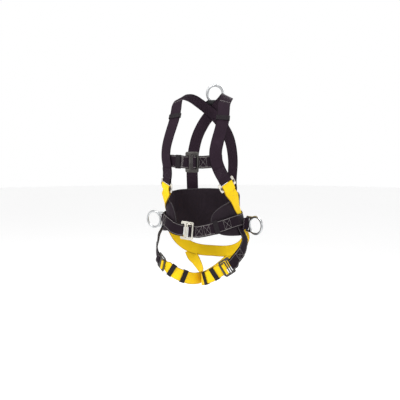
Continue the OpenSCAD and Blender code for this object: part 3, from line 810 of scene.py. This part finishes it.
def rim_of(bm):
    """The pad's edge all round, in order, a little outside the sharp rim of its lining."""
    sharp = {e for e in bm.edges if e.calc_face_angle(0.0) > math.radians(70)}
    first = min(sharp, key=lambda e: tuple(e.verts[0].co) + tuple(e.verts[1].co))
    sharp.discard(first)
    chain = list(first.verts)
    while True:
        at, way = chain[-1], (chain[-1].co - chain[-2].co).normalized()
        onward = [e for e in at.link_edges if e in sharp]
        if not onward:
            break
        edge = max(onward, key=lambda e: (e.other_vert(at).co - at.co).normalized().dot(way))
        sharp.discard(edge)
        chain.append(edge.other_vert(at))
        if chain[-1] is chain[0]:
            chain.pop()
            break
    return [v.co + Vector((v.co.x, v.co.y, 0)).normalized() * 1.4 * MM for v in chain]


def fill_pad(pad, loft):
    """Swells the cover under pressure, as foam does, but by no more than the loft."""
    rest = [v.co.copy() for v in pad.data.vertices]
    swell = pad.modifiers.new("foam", "CLOTH")
    swell.settings.quality = 5
    swell.settings.mass = 0.3
    swell.settings.use_pressure = True
    swell.settings.uniform_pressure_force = 4.0
    swell.settings.tension_stiffness = swell.settings.compression_stiffness = 15
    swell.settings.effector_weights.gravity = 0.0
    swell.point_cache.frame_start, swell.point_cache.frame_end = 1, 14
    for step in range(1, 15):
        bpy.context.scene.frame_set(step)
    view = bpy.context.evaluated_depsgraph_get()
    swollen = pad.evaluated_get(view).data
    moved = [v.co.copy() for v in swollen.vertices]
    pad.modifiers.clear()
    for v, old, new in zip(pad.data.vertices, rest, moved):
        step = new - old
        if step.length > loft:
            step = step.normalized() * loft
        v.co = old + step
    bpy.context.scene.frame_set(1)


def lumbar_pad():
    """The padded shell behind the belt, with sewn channels and a bound edge."""
    settings = bpy.context.scene.harness_pad
    channel_pitch, channel_half = 20, 3.2 * MM      # pitch in degrees round the wearer
    channel_fade, hem, hem_half = 14 * MM, 9 * MM, 2.6 * MM
    bm = merged_copy("lumbar_pad")
    rim = rim_of(bm)
    pad = finish_piece("lumbar_pad_cover", bm, "pad_fabric", "lumbar_pad", creases=180)
    form = pad.modifiers.new("form", "REMESH")
    form.mode, form.voxel_size = "VOXEL", 3.6 * MM
    ease = pad.modifiers.new("ease", "SMOOTH")
    ease.factor, ease.iterations = 0.5, 3
    applied(pad)
    fill_pad(pad, settings.loft)
    normals = [v.normal.copy() for v in pad.data.vertices]
    for v, normal in zip(pad.data.vertices, normals):
        bearing = math.atan2(v.co.x, -v.co.y)
        offset = (math.degrees(bearing) + channel_pitch / 2) % channel_pitch - channel_pitch / 2
        across = math.radians(offset) * math.hypot(v.co.x, v.co.y)
        from_rim = min((v.co - p).length for p in rim)
        inside = min(from_rim / channel_fade, 1.0)
        dip = math.exp(-(across / channel_half) ** 2) * inside
        outward = normal.dot(Vector((v.co.x, v.co.y, 0)).normalized())
        seam = math.exp(-((from_rim - hem) / hem_half) ** 2) * 0.6
        v.co -= normal * settings.channel * max(dip, seam) * max(outward, 0.0)
    smooth = pad.modifiers.new("fullness", "SUBSURF")
    smooth.levels = smooth.render_levels = 1
    applied(pad)
    for face in pad.data.polygons:
        face.use_smooth = True

    bm = bmesh.new()
    smoothed = []
    for i in range(len(rim)):
        near = [rim[i - 1], rim[i], rim[(i + 1) % len(rim)], rim[(i + 2) % len(rim)]]
        smoothed += [curve_value(*near, t) for t in (0.0, 0.5)]
    # the tape is sewn to the cover, so it lies where the finished cover's edge is
    cover = BVHTree.FromPolygons([v.co for v in pad.data.vertices], [p.vertices for p in pad.data.polygons])
    smoothed = [cover.find_nearest(p)[0] for p in smoothed]
    count = len(smoothed)
    for _ in range(3):
        smoothed = [(smoothed[i - 1] + smoothed[i] * 2 + smoothed[(i + 1) % count]) / 4 for i in range(count)]
    cord_round(bm, smoothed, 2.1 * MM, 10)
    finish_piece("lumbar_pad_binding", bm, "pad_binding", body="harness", creases=180)


def back_plate():
    """The moulded plate where the shoulder straps cross, with ribs."""
    place, (l, w, t) = axes_of("back_plate", across=JOINTS["back_ring_swing"]["axis"])
    corner, x, y = 20.0, l / 2, w / 2
    outline = [(-x, -y + corner), (-x + corner, -y), (x - corner, -y), (x, -y + corner),
               (x, y - corner), (x - corner, y), (-x + corner, y), (-x, y - corner)]
    rounded_outline = []
    for i, p in enumerate(outline):
        before, after = Vector(outline[i - 1]), Vector(outline[(i + 1) % 8])
        p = Vector(p)
        a, b = p + (before - p).normalized() * 7, p + (after - p).normalized() * 7
        for k in (0, 0.25, 0.5, 0.75, 1):
            rounded_outline.append(tuple(a * (1 - k) ** 2 + p * 2 * k * (1 - k) + b * k ** 2))
    slots = [[(u, v + s * 17) for u, v in rounded(7, 22, 2.2, -x + 12.5, 3)] for s in (-1, 1)]
    bm = plate([rounded_outline, *slots], t, 0.9)
    for u in (-8, 6, 20):
        bead(bm, (u, 0, t / 2 - 0.1), 58 - abs(u) * 0.5, 1.6, 0.9)
    finish_piece("back_plate_moulding", bm, "moulded_plastic", "back_plate", place)


# ---------------------------------------------------------------- operators

def sewing(name, finish, boxes=(), rows=()):
    """One piece with all the stitching of one thread: boxes and rows on their strips."""
    bm = bmesh.new()
    for args, options in boxes:
        box_stitch(bm, *args, **options)
    for args in rows:
        sew(bm, *args)
    finish_piece(name, bm, finish, creases=180)


def fold_box(strip, start, size, side=-1, **options):
    """A box of a size in metres that begins start metres along a strip."""
    return (strip, start, start + size), dict(side=side, **options)


class HARNESS_OT_shoulder_straps(bpy.types.Operator):
    """Build the two shoulder straps and their sewing"""
    bl_idname = "harness.shoulder_straps"
    bl_label = "Shoulder straps"

    def execute(self, context):
        boxes, rows = [], []
        for side, s, tip in (("left", 1, (0.092, -0.030, 0.449)), ("right", -1, (-0.087, -0.030, 0.452))):
            strip = lay_strap(side + "_shoulder_webbing", side + "_shoulder_strap", (0, -1, 0),
                              "black_webbing")
            boxes.append(fold_box(strip, 4 * MM, 30 * MM))
            boxes.append(((strip, strip.run[-1] - 36 * MM, strip.run[-1] - 5 * MM), {}))
            at_plate = strip.near((-s * 0.03, 0.104, 0.385))
            boxes.append(((strip, at_plate - 12 * MM, at_plate + 14 * MM), dict(cross=False)))
            top = strip.near(tip)
            rows.append((strip, (top, -19 * MM), (top, 19 * MM)))
            rows.append((strip, (top + 3.2 * MM, -19 * MM), (top + 3.2 * MM, 19 * MM)))
        sewing("shoulder_sewing", "black_thread", boxes)
        sewing("shoulder_top_sewing", "grey_thread", rows=rows)
        return {"FINISHED"}


class HARNESS_OT_seat_strap(bpy.types.Operator):
    """Build the yellow seat strap that runs from adjuster to adjuster"""
    bl_idname = "harness.seat_strap"
    bl_label = "Seat strap"

    def execute(self, context):
        strip = lay_strap("seat_webbing", "seat_strap", (1, 0, 0), "yellow_webbing")
        end = strip.run[-1]
        middle = [strip.near((s * 0.082, 0.112, -0.120)) for s in (1, -1)]
        sewing("seat_sewing", "yellow_thread", [
            fold_box(strip, 4 * MM, 28 * MM), fold_box(strip, end - 32 * MM, 28 * MM),
            *[((strip, run - 18 * MM, run + 18 * MM), {}) for run in middle]])
        return {"FINISHED"}


class HARNESS_OT_leg_straps(bpy.types.Operator):
    """Build the black hip straps and the yellow thigh straps"""
    bl_idname = "harness.leg_straps"
    bl_label = "Leg straps"

    def execute(self, context):
        hips, thighs = [], []
        for side, s in (("left", 1), ("right", -1)):
            hip = lay_strap(side + "_hip_webbing", side + "_hip_strap", (0, 0, -1), "lined_webbing")
            hips.append(fold_box(hip, 2.5 * MM, 27 * MM))
            thigh = lay_strap(side + "_thigh_webbing", side + "_thigh_strap", (0, -1, 0), "yellow_webbing")
            sewn = thigh.near((s * 0.030, -0.085, -0.195))
            thighs.append(((thigh, sewn - 16 * MM, sewn + 16 * MM), {}))
        sewing("hip_sewing", "grey_thread", hips)
        sewing("thigh_sewing", "yellow_thread", thighs)
        return {"FINISHED"}


class HARNESS_OT_chest_strap(bpy.types.Operator):
    """Build both halves of the chest strap"""
    bl_idname = "harness.chest_strap"
    bl_label = "Chest strap"

    def execute(self, context):
        left = lay_strap("left_chest_webbing", "left_chest_strap", (-1, 0, 0), "lined_webbing")
        right = lay_strap("right_chest_webbing", "right_chest_strap", (1, 0, 0), "lined_webbing")
        box = left.near((0.050, -0.140, 0.239))
        rows = []
        for k in range(4):
            run = right.near((-0.024, -0.142, 0.240), facing=-1) - k * 2.6 * MM
            rows.append((right, (run, -18 * MM), (run, 18 * MM), -1))
        sewing("chest_sewing", "grey_thread", [((left, box - 14 * MM, box + 12 * MM), {})], rows)
        return {"FINISHED"}


class HARNESS_OT_waist_belt(bpy.types.Operator):
    """Build the waist belt with its boxed stitching"""
    bl_idname = "harness.waist_belt"
    bl_label = "Waist belt"

    def execute(self, context):
        belt = lay_strap("waist_belt_webbing", "waist_belt", (-1, 0, 0), "lined_webbing")
        boxes = []
        for point, half in (((0.026, -0.117, -0.010), 12.5), ((0.056, -0.119, -0.004), 12.5),
                            ((0.129, -0.091, 0.015), 14), ((0.150, 0.070, 0.030), 15),
                            ((-0.150, 0.070, 0.030), 15),
                            ((-0.134, -0.086, 0.020), 15), ((0.0, 0.135, 0.033), 15)):
            run = belt.near(point)
            boxes.append(((belt, run - half * MM, run + half * MM), {}))
        sewing("belt_sewing", "grey_thread", boxes)
        return {"FINISHED"}


class HARNESS_OT_ring_loops(bpy.types.Operator):
    """Build the loops of webbing that hold the rings"""
    bl_idname = "harness.ring_loops"
    bl_label = "Ring loops"

    def execute(self, context):
        boxes = []
        for node, start in (("left_ring_loop", (0, 1, 0)), ("right_ring_loop", (0, 1, 0)),
                            ("back_ring_loop", (0, 0, 1))):
            strip = lay_strap(node + "_webbing", node, start, "black_webbing")
            end = strip.run[-1]
            boxes += [((strip, 1.5 * MM, 10 * MM), dict(cross=False)),
                      ((strip, end - 10 * MM, end - 1.5 * MM), dict(cross=False))]
        sewing("ring_loop_sewing", "grey_thread", boxes)
        return {"FINISHED"}


class HARNESS_OT_lumbar_pad(bpy.types.Operator):
    """Build the lumbar pad and its binding"""
    bl_idname = "harness.lumbar_pad"
    bl_label = "Lumbar pad"

    def execute(self, context):
        lumbar_pad()
        return {"FINISHED"}


class HARNESS_OT_back_plate(bpy.types.Operator):
    """Build the moulded plate behind the shoulders"""
    bl_idname = "harness.back_plate"
    bl_label = "Back plate"

    def execute(self, context):
        back_plate()
        return {"FINISHED"}


class HARNESS_OT_rings(bpy.types.Operator):
    """Build the back ring and the two side rings"""
    bl_idname = "harness.rings"
    bl_label = "Rings"

    def execute(self, context):
        for name in ("left_side_ring", "right_side_ring", "back_ring"):
            forged_ring(name + "_forging", name + "_swing", name)
        return {"FINISHED"}


class HARNESS_OT_buckles(bpy.types.Operator):
    """Build the chest, waist and leg buckles"""
    bl_idname = "harness.buckles"
    bl_label = "Buckles"

    def execute(self, context):
        for name, finish in (("chest", "dark_steel"), ("waist", "bright_steel"),
                             ("left_leg", "dark_steel"), ("right_leg", "dark_steel")):
            belt_buckle(name, name + "_link_tilt", name + "_buckle_frame", name + "_buckle_link", finish)
        return {"FINISHED"}


class HARNESS_OT_adjusters(bpy.types.Operator):
    """Build the shoulder adjusters and their sliding bars"""
    bl_idname = "harness.adjusters"
    bl_label = "Adjusters"

    def execute(self, context):
        for side in ("left", "right"):
            adjuster(side, side + "_bar_slide")
        return {"FINISHED"}


class HARNESS_OT_keepers(bpy.types.Operator):
    """Build the elastic keepers that hold the loose ends"""
    bl_idname = "harness.keepers"
    bl_label = "Keepers"

    def execute(self, context):
        for node in BODY_OF:
            if node.endswith("_keeper"):
                keeper(node, node + "_slide")
        return {"FINISHED"}


class HARNESS_OT_stage(bpy.types.Operator):
    """Set up the floor, the soft lights and the camera"""
    bl_idname = "harness.stage"
    bl_label = "Stage"

    def execute(self, context):
        scene = context.scene
        floor_z = -0.95
        bm = bmesh.new()
        bmesh.ops.create_circle(bm, cap_ends=True, segments=96, radius=14.0,
                                matrix=Matrix.Translation((0, 0, floor_z)))
        mesh = bpy.data.meshes.new("floor")
        bm.to_mesh(mesh)
        bm.free()
        floor = bpy.data.objects.new("floor", mesh)
        scene.collection.objects.link(floor)
        sketch = Sketch("pale_floor")
        mesh.materials.append(sketch.surface(
            Base_Color=sketch.mix(sketch.noise(0.6), (0.93, 0.93, 0.93, 1), (0.96, 0.96, 0.96, 1)),
            Roughness=0.9,
            Emission_Color=(1.0, 1.0, 1.0, 1.0), Emission_Strength=0.32))

        # the studio is white at eye level and darker above and below, so that metal has something to show
        world = bpy.data.worlds.new("studio")
        world.use_nodes = True
        nodes, links = world.node_tree.nodes, world.node_tree.links
        sky = nodes["Background"]
        way = nodes.new("ShaderNodeTexCoord")
        height = nodes.new("ShaderNodeSeparateXYZ")
        fall = nodes.new("ShaderNodeValToRGB")
        lift = nodes.new("ShaderNodeMapRange")
        links.new(way.outputs["Generated"], height.inputs[0])
        links.new(height.outputs[2], lift.inputs[0])
        lift.inputs[1].default_value, lift.inputs[2].default_value = -1.0, 1.0
        links.new(lift.outputs[0], fall.inputs[0])
        stops = fall.color_ramp.elements
        stops[0].position, stops[0].color = 0.20, (0.42, 0.42, 0.43, 1.0)
        stops[1].position, stops[1].color = 0.34, (1.0, 1.0, 1.0, 1.0)
        for place, tone in ((0.66, 1.0), (0.80, 0.30), (0.95, 0.75)):
            stops.new(place).color = (tone, tone, tone, 1.0)
        links.new(fall.outputs[0], sky.inputs["Color"])
        sky.inputs["Strength"].default_value = 1.0
        scene.world = world
        scene.view_settings.view_transform = "Standard"

        for name, place, size, power in (("key", (-1.6, -2.2, 1.9), 1.2, 60),
                                         ("fill", (2.3, -1.6, 0.9), 1.6, 22),
                                         ("back", (0.6, 2.4, 1.8), 1.6, 36),
                                         ("top", (0.0, 0.0, 2.6), 1.2, 22)):
            lamp = bpy.data.lights.new(name, "AREA")
            lamp.energy, lamp.size = power, size
            light = bpy.data.objects.new(name, lamp)
            light.location = place
            light.rotation_euler = (Vector((0, 0, 0.15)) - Vector(place)).to_track_quat("-Z", "Y").to_euler()
            scene.collection.objects.link(light)

        azimuth, elevation, distance = math.radians(20), math.radians(6), 2.2
        target = Vector((0, 0, 0.090))
        lens = bpy.data.cameras.new("camera")
        lens.lens, lens.sensor_width, lens.sensor_fit = 52.1, 36.0, "HORIZONTAL"
        lens.shift_x = -0.00875
        camera = bpy.data.objects.new("camera", lens)
        camera.location = target + distance * Vector((
            math.sin(azimuth) * math.cos(elevation), -math.cos(azimuth) * math.cos(elevation),
            math.sin(elevation)))
        camera.rotation_euler = (target - camera.location).to_track_quat("-Z", "Y").to_euler()
        scene.collection.objects.link(camera)
        scene.camera = camera
        return {"FINISHED"}


BUILDERS = (HARNESS_OT_stage, HARNESS_OT_shoulder_straps, HARNESS_OT_seat_strap, HARNESS_OT_leg_straps,
            HARNESS_OT_chest_strap, HARNESS_OT_waist_belt, HARNESS_OT_ring_loops, HARNESS_OT_lumbar_pad,
            HARNESS_OT_back_plate, HARNESS_OT_rings, HARNESS_OT_buckles, HARNESS_OT_adjusters,
            HARNESS_OT_keepers)
SETTINGS = {"harness_webbing": WebbingSettings, "harness_metal": MetalSettings, "harness_pad": PadSettings}


class HARNESS_PT_panel(bpy.types.Panel):
    """Settings and builders of the harness"""
    bl_idname = "HARNESS_PT_panel"
    bl_label = "Safety harness"
    bl_space_type = "VIEW_3D"
    bl_region_type = "UI"
    bl_category = "Harness"

    def draw(self, context):
        for name, group in SETTINGS.items():
            box = self.layout.box()
            for key in group.__annotations__:
                box.prop(getattr(context.scene, name), key)
        for builder in BUILDERS:
            self.layout.operator(builder.bl_idname)


def register():
    for cls in (*SETTINGS.values(), *BUILDERS, HARNESS_PT_panel):
        bpy.utils.register_class(cls)
    for name, group in SETTINGS.items():
        setattr(bpy.types.Scene, name, PointerProperty(type=group))


def unregister():
    for name in SETTINGS:
        delattr(bpy.types.Scene, name)
    for cls in reversed((*SETTINGS.values(), *BUILDERS, HARNESS_PT_panel)):
        bpy.utils.unregister_class(cls)


def main():
    register()
    for builder in BUILDERS:
        group, name = builder.bl_idname.split(".")
        getattr(getattr(bpy.ops, group), name)()


if __name__ == "__main__":
    main()
